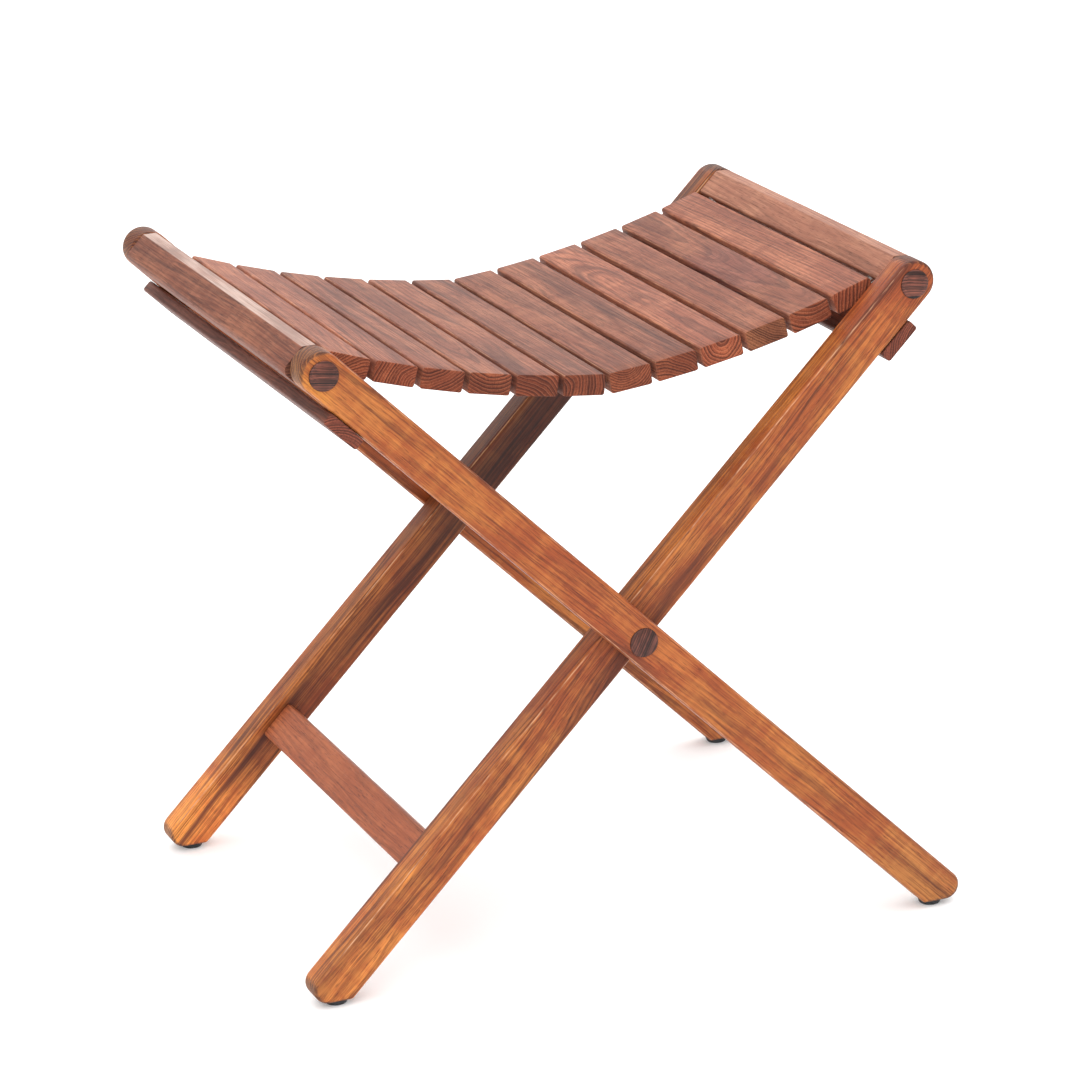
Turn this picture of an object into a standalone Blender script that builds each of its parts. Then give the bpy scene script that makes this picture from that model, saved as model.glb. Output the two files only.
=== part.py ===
"""Folding shower stool: two crossed timber frames joined by a pivot bolt at each side, with a sling seat
of slats threaded on two cords between the frames' top rails.

Units are metres and +Z is up. The origin is on the floor below the middle of the stool. X runs across the
cross of the legs, Y along the slats. The outer frame's legs run from the upper -X side to the lower +X side,
and the inner frame's legs run the other way, just inside them.
"""

import bmesh
import bpy
import numpy as np
from math import cos, pi, radians, sin, tan
from mathutils import Matrix, Vector

MM = 0.001
FIT = 0.3 * MM  # gap left between neighbouring pieces

# Legs
LEG_ANGLE = radians(44.8)  # a leg above the floor
LEG_WIDTH = 30 * MM
LEG_THICK = 23.5 * MM
LEG_EDGE = 3 * MM  # rounding of the long edges
OUTER_DEPTH = 400 * MM  # over the outer legs, along Y
FRAME_GAP = 1.2 * MM  # between an outer leg and its inner neighbour
PIVOT_Z = 239 * MM
UPPER_ARM = 313.4 * MM  # pivot to the rail's centre
TOP_OVERRUN = 1.5 * MM  # centre of the round leg end beyond the rail's centre
FOOT_Z = 4 * MM  # the leg's level cut above the floor
FOOT_RADIUS = 10.5 * MM  # outer corner of the level cut

# Rails, bars and stretcher
RAIL_INNER = -12 * MM  # the rail's face towards the slats, along the leg from the rail's centre line
RAIL_OUTER = 15.2 * MM  # its outer face
RAIL_UNDER = -15 * MM  # its face at the leg's under edge
RAIL_TOP = 13.5 * MM  # its face just below the leg's upper edge
RAIL_CHAMFER = 7 * MM  # broad bevel between the outer face and the top face
BAR_ALONG = 277 * MM  # bar's centre line from the pivot, along the leg
BAR_WIDTH = 31 * MM
BAR_THICK = 9 * MM
STRETCHER_ALONG = 212 * MM  # below the pivot
STRETCHER_WIDTH = 30 * MM
STRETCHER_THICK = 15 * MM
BAR_EDGE = 2 * MM

# Seat
SLATS = 12
SLAT_WIDTH = 31 * MM
SLAT_THICK = 15 * MM
SLAT_PITCH = 35 * MM
SLAT_LENGTH = 298 * MM
SLAT_EDGE = 1.5 * MM
SLAT_FIRST_SLOPE = radians(6)  # the two middle slats
SLAT_SLOPE_STEP = radians(2.5)  # each slat outwards
SEAT_LOW_Z = 411 * MM  # middle of the seat, at half the slats' thickness
CORD_DIAMETER = 3.2 * MM
CORD_HOLE = 4.4 * MM
CORD_INSET = 13 * MM  # cord's centre line from a slat's end
CORD_IN_RAIL = 8 * MM  # cord's end inside the rail
FERRULE_DIAMETER = 6.4 * MM
FERRULE_PROUD = 2 * MM  # ferrule in front of the rail's face
FERRULE_DEEP = 6 * MM

# Fittings
PLUG_DIAMETER = 21 * MM
PLUG_HOLE_DEPTH = 6 * MM
PLUG_DOME = 2.3 * MM
BOLT_DIAMETER = 8 * MM
BOLT_HEAD_DIAMETER = 16 * MM
BOLT_HEAD_HEIGHT = 4 * MM
BOLT_CLEARANCE = 0.05 * MM
SCREW_DIAMETER = 5 * MM
NUT_FLANGE_DIAMETER = 12.4 * MM
NUT_FLANGE_HEIGHT = 1.6 * MM
NUT_SLEEVE_DIAMETER = 9.6 * MM
WASHER_DIAMETER = 22 * MM
WASHER_THICK = 0.6 * MM
PAD_X = 224.3 * MM
PAD_FLOOR_DIAMETER = 15.2 * MM
PAD_TOP_DIAMETER = 17.4 * MM
DOWEL_DIAMETER = 10 * MM
DOWEL_IN_LEG = 12 * MM
DOWEL_IN_STRETCHER = 20 * MM

OUTER_Y = OUTER_DEPTH / 2 - LEG_THICK / 2  # centre of an outer leg
INNER_Y = OUTER_Y - LEG_THICK - FRAME_GAP
SIDES = {"front": -1, "rear": 1}

for leftover in list(bpy.data.objects):
    bpy.data.objects.remove(leftover, do_unlink=True)


# ---------------------------------------------------------------- materials and scene helpers


def material(name, colour, roughness, metallic=0.0):
    made = bpy.data.materials.get(name)
    if made:
        return made
    made = bpy.data.materials.new(name)
    made.use_nodes = True
    shader = made.node_tree.nodes["Principled BSDF"]
    shader.inputs["Base Color"].default_value = (*colour, 1.0)
    shader.inputs["Roughness"].default_value = roughness
    shader.inputs["Metallic"].default_value = metallic
    made.diffuse_color = (*colour, 1.0)
    return made


LEG_TEAK = ("leg_teak", (0.46, 0.17, 0.055), 0.5)
SEAT_TEAK = ("seat_teak", (0.32, 0.125, 0.06), 0.52)
PLUG_WOOD = ("plug_wood", (0.075, 0.03, 0.02), 0.45)
STEEL = ("stainless_steel", (0.62, 0.61, 0.59), 0.3, 1.0)
RUBBER = ("black_rubber", (0.012, 0.013, 0.014), 0.65)
NYLON = ("nylon_washer", (0.7, 0.68, 0.64), 0.45)
CORD = ("cord", (0.66, 0.63, 0.58), 0.6)


def empty(name, matrix=Matrix.Identity(4), parent=None):
    made = bpy.data.objects.new(name, None)
    made.empty_display_size = 0.02
    bpy.context.scene.collection.objects.link(made)
    made.parent = parent
    made.matrix_world = matrix
    bpy.context.view_layer.update()
    return made


def solid(name, mesh, finish, matrix=Matrix.Identity(4), parent=None):
    """An object of this mesh at this place in the world, parented without moving it."""
    made = bpy.data.objects.new(name, mesh)
    bpy.context.scene.collection.objects.link(made)
    if finish:
        mesh.materials.clear()
        mesh.materials.append(material(*finish))
    made.parent = parent
    bpy.context.view_layer.update()
    made.matrix_world = matrix
    return made


def cutter(name, mesh, matrix, parent=None):
    made = solid(name, mesh, None, matrix, parent)
    made.hide_render = True
    made.display_type = "WIRE"
    return made


def cut(target, *tools):
    for tool in tools:
        boolean = target.modifiers.new("cut_" + tool.name, "BOOLEAN")
        boolean.operation = "DIFFERENCE"
        boolean.solver = "EXACT"
        boolean.object = tool


def to_mesh(name, shape, smooth_over=None):
    bmesh.ops.recalc_face_normals(shape, faces=shape.faces)
    mesh = bpy.data.meshes.new(name)
    shape.to_mesh(mesh)
    shape.free()
    if smooth_over is not None:
        mesh.shade_smooth()
        mesh.set_sharp_from_angle(angle=smooth_over)
    return mesh


def prism(name, outline, low, high, edge=0.0, segments=2):
    """A closed outline in X and Z, extruded along Y from low to high, with its edges rounded."""
    shape = bmesh.new()
    ring = [shape.verts.new((x, low, z)) for x, z in outline]
    face = shape.faces.new(ring)
    swept = bmesh.ops.extrude_face_region(shape, geom=[face])
    moved = [item for item in swept["geom"] if isinstance(item, bmesh.types.BMVert)]
    bmesh.ops.translate(shape, verts=moved, vec=(0, high - low, 0))
    if edge:
        rims = [e for e in shape.edges if len({round(v.co.y, 6) for v in e.verts}) == 1]
        bmesh.ops.bevel(shape, geom=rims, offset=edge, segments=segments, affect="EDGES", profile=0.5)
    return to_mesh(name, shape, radians(35))


def rounded_rectangle(width, height, radius, steps=3):
    """Corner points, anticlockwise from the lower right."""
    points = []
    for corner, (sx, sz) in enumerate(((1, -1), (1, 1), (-1, 1), (-1, -1))):
        centre = (sx * (width / 2 - radius), sz * (height / 2 - radius))
        for step in range(steps + 1):
            angle = (corner - 1) * pi / 2 + step / steps * pi / 2
            points.append((centre[0] + radius * cos(angle), centre[1] + radius * sin(angle)))
    return points


def rounded_outline(corners, steps=3):
    """An anticlockwise outline with each corner (x, z, radius) replaced by an arc tangent to its two sides."""
    points = []
    for index, (x, z, radius) in enumerate(corners):
        corner = Vector((x, z))
        before = (Vector(corners[index - 1][:2]) - corner).normalized()
        after = (Vector(corners[(index + 1) % len(corners)][:2]) - corner).normalized()
        half = before.angle(after) / 2
        centre = corner + (before + after).normalized() * radius / sin(half)
        first = (corner + before * radius / tan(half) - centre).normalized()
        last = (corner + after * radius / tan(half) - centre).normalized()
        points += [tuple(centre + first.slerp(last, step / steps) * radius) for step in range(steps + 1)]
    return points


def turned(name, profile, sides=24):
    """A profile of (radius, height) points from the axis to the axis, spun about Z."""
    shape = bmesh.new()
    points = [shape.verts.new((radius, 0, height)) for radius, height in profile]
    edges = [shape.edges.new(pair) for pair in zip(points, points[1:])]
    bmesh.ops.spin(
        shape, geom=points + edges, cent=(0, 0, 0), axis=(0, 0, 1), angle=2 * pi, steps=sides, use_merge=True
    )
    bmesh.ops.remove_doubles(shape, verts=shape.verts, dist=1e-6)
    return to_mesh(name, shape, radians(35))


def along(point, direction):
    """A matrix at this point with its +Z along direction."""
    return Matrix.Translation(point) @ Vector(direction).to_track_quat("Z", "Y").to_matrix().to_4x4()


def hole(name, start, direction, *steps, sides=24, parent=None):
    """A stepped round cutter from start: each step is a radius and the depth that it reaches."""
    profile, depth = [(0, 0)], 0
    for radius, reach in steps:
        profile += [(radius, depth), (radius, reach)]
        depth = reach
    mesh = turned(name, profile + [(0, depth)], sides)
    return cutter(name, mesh, along(start, direction), parent)


def plug_profile():
    """A short round plug with a domed face, from its flat end up."""
    radius, shoulder = PLUG_DIAMETER / 2 - FIT, PLUG_HOLE_DEPTH - FIT + 0.6 * MM
    dome = [pi / 6 * step for step in range(3)]
    points = [(radius * cos(angle), shoulder + (PLUG_DOME - 0.6 * MM) * sin(angle)) for angle in dome]
    return [(0, 0), (radius, 0), *points, (0, shoulder + PLUG_DOME - 0.6 * MM)]


# ---------------------------------------------------------------- frames
# Each frame is drawn in its own leg axes: local X runs up the leg, local Z square to it and up, and the
# local origin is on the pivot. The outer frame's upper arm leans to -X and the inner frame's to +X, so the
# outer frame's local Y is the world's -Y.


def frame_matrix(lean):
    """lean is -1 for the outer frame and +1 for the inner one."""
    up = Vector((lean * cos(LEG_ANGLE), 0, sin(LEG_ANGLE)))
    square = Vector((-lean * sin(LEG_ANGLE), 0, cos(LEG_ANGLE)))
    side = square.cross(up)
    turn = Matrix((up, side, square)).transposed().to_4x4()
    return Matrix.Translation((0, 0, PIVOT_Z)) @ turn


def leg_outline():
    """In leg axes: a round top end, straight edges, and a foot cut level with the floor."""
    half = LEG_WIDTH / 2
    drop = PIVOT_Z - FOOT_Z
    low_side = -(drop + half * cos(LEG_ANGLE)) / sin(LEG_ANGLE)
    high_side = -(drop - half * cos(LEG_ANGLE)) / sin(LEG_ANGLE)
    # local z = -half is the leg's under edge; the level cut meets it at an obtuse corner
    obtuse = Vector((high_side, -half))
    acute = Vector((low_side, half))
    level = (acute - obtuse).normalized()
    inward = Vector((level.y, -level.x))
    if inward.x < 0:
        inward = -inward
    points = []
    small = 4 * MM
    # obtuse corner, lightly rounded
    reach = small * tan(LEG_ANGLE / 2)
    centre = obtuse + level * reach + inward * small
    first, last = Vector((0, -1)), -inward
    for step in range(4):
        points.append(centre + first.slerp(last, step / 3) * small)
    # acute corner, well rounded
    reach = FOOT_RADIUS / tan(LEG_ANGLE / 2)
    centre = acute - level * reach + inward * FOOT_RADIUS
    steps = 7
    turn = pi - LEG_ANGLE
    for step in range(steps + 1):
        angle = -turn * step / steps
        start = -inward
        points.append(
            centre
            + Vector(
                (
                    start.x * cos(angle) - start.y * sin(angle),
                    start.x * sin(angle) + start.y * cos(angle),
                )
            )
            * FOOT_RADIUS
        )
    # round top
    top = UPPER_ARM + TOP_OVERRUN
    for step in range(13):
        angle = pi / 2 - pi * step / 12
        points.append(Vector((top + half * cos(angle), half * sin(angle))))
    return [tuple(point) for point in points]


LEG_OUTLINE = leg_outline()
RAIL_SECTION = rounded_outline(
    [
        (RAIL_INNER, RAIL_UNDER, 2 * MM),
        (RAIL_OUTER, RAIL_UNDER, 6 * MM),
        (RAIL_OUTER, RAIL_TOP - RAIL_CHAMFER, 2 * MM),
        (RAIL_OUTER - RAIL_CHAMFER, RAIL_TOP, 2 * MM),
        (RAIL_INNER, RAIL_TOP, 2 * MM),
    ]
)
frames = {}
for frame, lean in (("outer", -1), ("inner", 1)):
    matrix = frame_matrix(lean)
    root = empty(frame + "_frame", Matrix.Translation((0, 0, PIVOT_Z)))
    frames[frame] = root
    leg_y = OUTER_Y if frame == "outer" else INNER_Y
    face_in = leg_y - LEG_THICK / 2

    def at(x, y, z):
        """The world point at x and z in the leg axes, and at this world y."""
        return matrix @ Vector((x, lean * y, z))

    rail_outline = [(UPPER_ARM + x, z) for x, z in RAIL_SECTION]
    rail = solid(
        frame + "_top_rail",
        prism(frame + "_top_rail", rail_outline, -face_in + FIT, face_in - FIT),
        SEAT_TEAK,
        matrix,
        root,
    )
    bar_z = -LEG_WIDTH / 2 - FIT - BAR_THICK / 2
    bar_outline = [
        (BAR_ALONG + x, bar_z + z) for x, z in rounded_rectangle(BAR_WIDTH, BAR_THICK, BAR_EDGE, 3)
    ]
    bar_half = leg_y + LEG_THICK / 2
    bar = solid(
        frame + "_cross_bar",
        prism(frame + "_cross_bar", bar_outline, -bar_half, bar_half, 0.8 * MM, 1),
        SEAT_TEAK,
        matrix,
        root,
    )
    if frame == "inner":
        stretcher_outline = [
            (-STRETCHER_ALONG + x, z)
            for x, z in rounded_rectangle(STRETCHER_WIDTH, STRETCHER_THICK, BAR_EDGE, 3)
        ]
        stretcher = solid(
            "inner_stretcher",
            prism("inner_stretcher", stretcher_outline, -face_in + FIT, face_in - FIT),
            SEAT_TEAK,
            matrix,
            root,
        )

    for side, sign in SIDES.items():
        out = sign * (leg_y + LEG_THICK / 2)  # the leg's outer face
        inside = sign * face_in
        leg = solid(
            f"{frame}_leg_{side}",
            prism(
                f"{frame}_leg_{side}",
                LEG_OUTLINE,
                lean * sign * leg_y - LEG_THICK / 2,
                lean * sign * leg_y + LEG_THICK / 2,
                LEG_EDGE,
            ),
            LEG_TEAK,
            matrix,
            root,
        )
        inward = Vector((0, -sign, 0))
        tag = f"{frame}_{side}"

        # rail screw: head at the bottom of the plug hole, shank through the leg into the rail
        centre = at(UPPER_ARM, 0, 0)
        face = centre + Vector((0, out, 0))
        head_depth = PLUG_HOLE_DEPTH + BOLT_HEAD_HEIGHT
        tip_depth = LEG_THICK + 34 * MM
        hole_radius = SCREW_DIAMETER / 2 + FIT
        cut(
            leg,
            hole(f"rail_hole_{tag}", face - inward * MM, inward, (PLUG_DIAMETER / 2, MM + head_depth + FIT),
                 (hole_radius, LEG_THICK + 3 * MM), sides=24, parent=root),
        )
        cut(
            rail,
            hole(f"rail_bore_{tag}", face + inward * (LEG_THICK - MM), inward,
                 (hole_radius, tip_depth - LEG_THICK + 2 * MM), sides=16, parent=root),
        )
        shank_end = tip_depth - PLUG_HOLE_DEPTH
        solid(
            f"{frame}_rail_screw_{side}",
            turned(
                f"{frame}_rail_screw_{side}",
                [
                    (0, 0), (BOLT_HEAD_DIAMETER / 2, 0), (BOLT_HEAD_DIAMETER / 2, BOLT_HEAD_HEIGHT),
                    (SCREW_DIAMETER / 2, BOLT_HEAD_HEIGHT), (SCREW_DIAMETER / 2, shank_end - 4 * MM),
                    (0, shank_end),
                ],
                16,
            ),
            STEEL,
            along(face + inward * PLUG_HOLE_DEPTH, inward),
            root,
        )
        solid(
            f"{frame}_rail_plug_{side}",
            turned(f"{frame}_rail_plug_{side}", plug_profile(), 24),
            PLUG_WOOD,
            along(face + inward * (PLUG_HOLE_DEPTH - FIT), -inward),
            root,
        )

        # bar screw, sunk from the bar's outer face into the leg
        bar_out = at(BAR_ALONG, sign * leg_y, bar_z - BAR_THICK / 2)
        into = (matrix.to_3x3() @ Vector((0, 0, 1))).normalized()
        screw_length = 26 * MM
        cut(
            bar,
            hole(f"bar_hole_{tag}", bar_out - into * MM, into, (5 * MM, 4.3 * MM),
                 (hole_radius, BAR_THICK + 3 * MM), sides=20, parent=root),
        )
        cut(
            leg,
            hole(f"leg_pilot_{tag}", bar_out + into * (BAR_THICK - 2 * MM), into,
                 (hole_radius, screw_length - BAR_THICK + 3 * MM), sides=16, parent=root),
        )
        solid(
            f"{frame}_bar_screw_{side}",
            turned(
                f"{frame}_bar_screw_{side}",
                [(0, 0), (4.6 * MM, 0), (4.6 * MM, 2.6 * MM), (SCREW_DIAMETER / 2, 2.6 * MM),
                 (SCREW_DIAMETER / 2, screw_length - 4 * MM), (0, screw_length)],
                16,
            ),
            STEEL,
            along(bar_out + into * 0.4 * MM, into),
            root,
        )

        # foot pad: a tapered rubber button with a stem pressed up into the leg
        foot = Vector((-lean * PAD_X, sign * leg_y, 0))
        stem_top = 16 * MM
        pad_top = FOOT_Z - FIT
        cut(
            leg,
            hole(f"pad_hole_{tag}", foot + Vector((0, 0, FOOT_Z - 2 * MM)), (0, 0, 1),
                 (3.2 * MM, stem_top - FOOT_Z + 3 * MM), sides=16, parent=root),
        )
        solid(
            f"{frame}_foot_pad_{side}",
            turned(
                f"{frame}_foot_pad_{side}",
                [
                    (0, 0), (PAD_FLOOR_DIAMETER / 2 - 0.8 * MM, 0), (PAD_FLOOR_DIAMETER / 2, 0.7 * MM),
                    (PAD_TOP_DIAMETER / 2, pad_top), (2.9 * MM, pad_top), (2.9 * MM, stem_top - MM),
                    (1.9 * MM, stem_top), (0, stem_top),
                ],
                20,
            ),
            RUBBER,
            Matrix.Translation(foot),
            root,
        )

        if frame == "inner":
            # dowel that joins the stretcher to the leg
            socket = DOWEL_DIAMETER / 2 + FIT
            joint = at(-STRETCHER_ALONG, 0, 0) + Vector((0, inside, 0))
            cut(
                leg,
                hole(f"leg_socket_{tag}", joint + inward * 3 * MM, -inward,
                     (socket, 3 * MM + DOWEL_IN_LEG + FIT), sides=20, parent=root),
            )
            cut(
                stretcher,
                hole(f"stretcher_socket_{tag}", joint - inward * 3 * MM, inward,
                     (socket, 3 * MM + DOWEL_IN_STRETCHER + FIT), sides=20, parent=root),
            )
            length, radius = DOWEL_IN_LEG + DOWEL_IN_STRETCHER, DOWEL_DIAMETER / 2
            solid(
                f"stretcher_dowel_{side}",
                turned(
                    f"stretcher_dowel_{side}",
                    [(0, 0), (radius - 0.8 * MM, 0), (radius, 0.8 * MM), (radius, length - 0.8 * MM),
                     (radius - 0.8 * MM, length), (0, length)],
                    20,
                ),
                SEAT_TEAK,
                along(joint - inward * DOWEL_IN_LEG, inward),
                root,
            )

        # pivot bore
        face = Vector((0, out, PIVOT_Z))
        if frame == "outer":
            cut(
                leg,
                hole(f"pivot_hole_{tag}", face - inward * MM, inward, (PLUG_DIAMETER / 2, MM + head_depth + FIT),
                     (BOLT_DIAMETER / 2 + BOLT_CLEARANCE, LEG_THICK + 3 * MM), sides=24, parent=root),
            )
        else:
            cut(
                leg,
                hole(f"pivot_hole_{tag}", face - inward * 2 * MM, inward,
                     (NUT_SLEEVE_DIAMETER / 2 + BOLT_CLEARANCE, LEG_THICK + 4 * MM), sides=24, parent=root),
            )

# ---------------------------------------------------------------- pivot fittings

bore = BOLT_DIAMETER / 2 + BOLT_CLEARANCE
outer_face = OUTER_Y + LEG_THICK / 2
inner_face = INNER_Y - LEG_THICK / 2
sleeve_end = INNER_Y + LEG_THICK / 2 - MM
nut_low = inner_face - FIT - NUT_FLANGE_HEIGHT
washer_y = INNER_Y + LEG_THICK / 2 + (FRAME_GAP - WASHER_THICK) / 2
for side, sign in SIDES.items():
    axis = Vector((0, sign, 0))

    def on_pivot(y):
        return Vector((0, sign * y, PIVOT_Z))

    head_top = outer_face - PLUG_HOLE_DEPTH
    bolt_length = head_top - (inner_face + 3 * MM)
    radius = BOLT_DIAMETER / 2
    solid(
        f"pivot_bolt_{side}",
        turned(
            f"pivot_bolt_{side}",
            [
                (0, 0), (BOLT_HEAD_DIAMETER / 2, 0), (BOLT_HEAD_DIAMETER / 2, BOLT_HEAD_HEIGHT),
                (radius, BOLT_HEAD_HEIGHT), (radius, bolt_length - 0.8 * MM),
                (radius - 0.8 * MM, bolt_length), (0, bolt_length),
            ],
            24,
        ),
        STEEL,
        along(on_pivot(head_top), -axis),
        frames["outer"],
    )
    solid(
        f"pivot_plug_{side}",
        turned(f"pivot_plug_{side}", plug_profile(), 24),
        PLUG_WOOD,
        along(on_pivot(head_top + FIT), axis),
        frames["outer"],
    )
    # flanged sleeve nut, from the inner frame's inside
    sleeve = sleeve_end - nut_low
    nut = solid(
        f"pivot_nut_{side}",
        turned(
            f"pivot_nut_{side}",
            [
                (0, 0), (NUT_FLANGE_DIAMETER / 2 - 0.6 * MM, 0), (NUT_FLANGE_DIAMETER / 2, 0.6 * MM),
                (NUT_FLANGE_DIAMETER / 2, NUT_FLANGE_HEIGHT), (NUT_SLEEVE_DIAMETER / 2, NUT_FLANGE_HEIGHT),
                (NUT_SLEEVE_DIAMETER / 2, sleeve), (0, sleeve),
            ],
            24,
        ),
        STEEL,
        along(on_pivot(nut_low), axis),
        frames["inner"],
    )
    cut(nut, hole(f"nut_bore_{side}", on_pivot(inner_face + 2 * MM), axis, (bore, sleeve), sides=24,
                  parent=frames["inner"]))
    washer = solid(
        f"pivot_washer_{side}",
        turned(
            f"pivot_washer_{side}",
            [(0, 0), (WASHER_DIAMETER / 2, 0), (WASHER_DIAMETER / 2, WASHER_THICK), (0, WASHER_THICK)],
            24,
        ),
        NYLON,
        along(on_pivot(washer_y), axis),
        frames["outer"],
    )
    cut(washer, hole(f"washer_bore_{side}", on_pivot(washer_y - 3 * MM), axis, (bore, 6 * MM), sides=24,
                     parent=frames["outer"]))

# ---------------------------------------------------------------- seat slats


def seat_line():
    """Slat centres and slopes from -X to +X, with the middles of the gaps between them."""
    half = []
    point = Vector((0, SEAT_LOW_Z))
    for step in range(SLATS // 2):
        slope = SLAT_FIRST_SLOPE + step * SLAT_SLOPE_STEP
        run = Vector((cos(slope), sin(slope))) * SLAT_PITCH
        half.append((point + run / 2, slope))
        point = point + run
    left = [(Vector((-centre.x, centre.y)), -slope) for centre, slope in reversed(half)]
    return left + half


SEAT = seat_line()
slat_outline = rounded_rectangle(SLAT_WIDTH, SLAT_THICK, SLAT_EDGE, 3)
for number, (centre, slope) in enumerate(SEAT, 1):
    name = f"slat_{number:02d}"
    place = Matrix.Translation((centre.x, 0, centre.y)) @ Matrix.Rotation(-slope, 4, "Y")
    slat = solid(
        name,
        prism(name, slat_outline, -SLAT_LENGTH / 2, SLAT_LENGTH / 2, 0.8 * MM, 1),
        SEAT_TEAK,
        place,
        frames["outer"] if number <= SLATS // 2 else frames["inner"],
    )
    for side, sign in SIDES.items():
        y = sign * (SLAT_LENGTH / 2 - CORD_INSET)
        cut(
            slat,
            hole(f"cord_hole_{number}_{side}", place @ Vector((-SLAT_WIDTH, y, 0)),
                 place.to_3x3() @ Vector((1, 0, 0)), (CORD_HOLE / 2, 2 * SLAT_WIDTH), sides=10, parent=slat.parent),
        )

# ---------------------------------------------------------------- cords and their ferrules in the rails


def cord_route(y):
    """The cord's line through the seat, by the middles of the gaps and on into the rails."""
    low = Vector((0, SEAT_LOW_Z))
    joints = [low]
    for step in range(SLATS // 2):
        slope = SLAT_FIRST_SLOPE + step * SLAT_SLOPE_STEP
        joints.append(joints[-1] + Vector((cos(slope), sin(slope))) * SLAT_PITCH)
    reach = END_REACH + CORD_IN_RAIL
    joints.append(joints[-1] + Vector((cos(END_SLOPE), sin(END_SLOPE))) * reach)
    joints = [Vector((-point.x, point.y)) for point in reversed(joints[1:])] + joints
    xs, zs = [point.x for point in joints], [point.y for point in joints]
    even = np.linspace(xs[0], xs[-1], 451)
    soft = np.convolve(np.pad(np.interp(even, xs, zs), 12, "reflect", reflect_type="odd"), np.ones(25) / 25, "valid")
    return [(x, y, z) for x, z in zip(even[::10], soft[::10])]


# where the line of the end slat meets the rail's slat-side face
END_SLOPE = SEAT[-1][1]
end_edge = SEAT[-1][0] + Vector((cos(END_SLOPE), sin(END_SLOPE))) * SLAT_PITCH / 2
rail_centre = Vector((UPPER_ARM * cos(LEG_ANGLE), PIVOT_Z + UPPER_ARM * sin(LEG_ANGLE)))
leg_up = Vector((cos(LEG_ANGLE), sin(LEG_ANGLE)))
run = Vector((cos(END_SLOPE), sin(END_SLOPE)))
END_REACH = ((rail_centre - end_edge).dot(leg_up) + RAIL_INNER) / run.dot(leg_up)
FACE_POINT = end_edge + run * END_REACH

for side, sign in SIDES.items():
    y = sign * (SLAT_LENGTH / 2 - CORD_INSET)
    for frame, lean in (("outer", -1), ("inner", 1)):
        into = Vector((lean * run.x, 0, run.y))
        mouth = Vector((lean * FACE_POINT.x, y, FACE_POINT.y))
        rail = bpy.data.objects[f"{frame}_top_rail"]
        cut(
            rail,
            hole(f"ferrule_hole_{frame}_{side}", mouth - into * 6 * MM, into,
                 (FERRULE_DIAMETER / 2 + FIT, 6 * MM + FERRULE_DEEP + FIT), sides=20, parent=frames[frame]),
        )
        length, bore = FERRULE_PROUD + FERRULE_DEEP, CORD_HOLE / 2
        ferrule = solid(
            f"{frame}_cord_ferrule_{side}",
            turned(
                f"{frame}_cord_ferrule_{side}",
                [(0, 0), (FERRULE_DIAMETER / 2 - 0.5 * MM, 0), (FERRULE_DIAMETER / 2, 0.5 * MM),
                 (FERRULE_DIAMETER / 2, length), (0, length)],
                20,
            ),
            STEEL,
            along(mouth - into * FERRULE_PROUD, into),
            frames[frame],
        )
        cut(ferrule, hole(f"ferrule_bore_{frame}_{side}", mouth - into * 5 * MM, into,
                          (CORD_HOLE / 2, 30 * MM), sides=16, parent=frames[frame]))
        cut(
            rail,
            hole(f"cord_end_hole_{frame}_{side}", mouth + into * 4 * MM, into,
                 (CORD_HOLE / 2, CORD_IN_RAIL - 3.4 * MM), sides=12, parent=frames[frame]),
        )
    curve = bpy.data.curves.new(f"seat_cord_{side}", "CURVE")
    curve.dimensions = "3D"
    curve.bevel_depth = CORD_DIAMETER / 2
    curve.bevel_resolution = 2
    curve.use_fill_caps = True
    route = cord_route(y)
    spline = curve.splines.new("POLY")
    spline.points.add(len(route) - 1)
    for point, place in zip(spline.points, route):
        point.co = (*place, 1)
    made = bpy.data.objects.new(f"seat_cord_{side}", curve)
    bpy.context.scene.collection.objects.link(made)
    curve.materials.append(material(*CORD))
    made.parent = frames["outer"]
    bpy.context.view_layer.update()
    made.matrix_world = Matrix.Identity(4)
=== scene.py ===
"""Looks of the folding shower stool: turned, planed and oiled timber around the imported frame, with its cords,
plugs, pads and fittings. Lengths are in metres unless a name says mm, and +Z is up."""

from math import cos, pi, radians, sin, tan

import bmesh
import bpy
import numpy as np
from mathutils import Matrix, Vector


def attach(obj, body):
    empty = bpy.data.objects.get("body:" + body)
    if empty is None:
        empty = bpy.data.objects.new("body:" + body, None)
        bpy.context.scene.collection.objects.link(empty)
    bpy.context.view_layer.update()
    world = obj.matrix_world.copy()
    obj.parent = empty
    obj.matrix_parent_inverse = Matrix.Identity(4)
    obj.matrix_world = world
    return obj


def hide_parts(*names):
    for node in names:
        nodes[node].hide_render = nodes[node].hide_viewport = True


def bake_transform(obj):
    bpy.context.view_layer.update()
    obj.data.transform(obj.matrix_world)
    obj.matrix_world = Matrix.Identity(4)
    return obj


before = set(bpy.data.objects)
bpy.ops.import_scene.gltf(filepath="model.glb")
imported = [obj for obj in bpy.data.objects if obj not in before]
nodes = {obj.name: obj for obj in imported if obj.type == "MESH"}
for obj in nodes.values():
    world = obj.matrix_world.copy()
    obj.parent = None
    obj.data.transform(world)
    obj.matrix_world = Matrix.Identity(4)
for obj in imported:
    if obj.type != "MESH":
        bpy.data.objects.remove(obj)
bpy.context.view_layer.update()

MM = 0.001
FIT = 0.3 * MM

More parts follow.
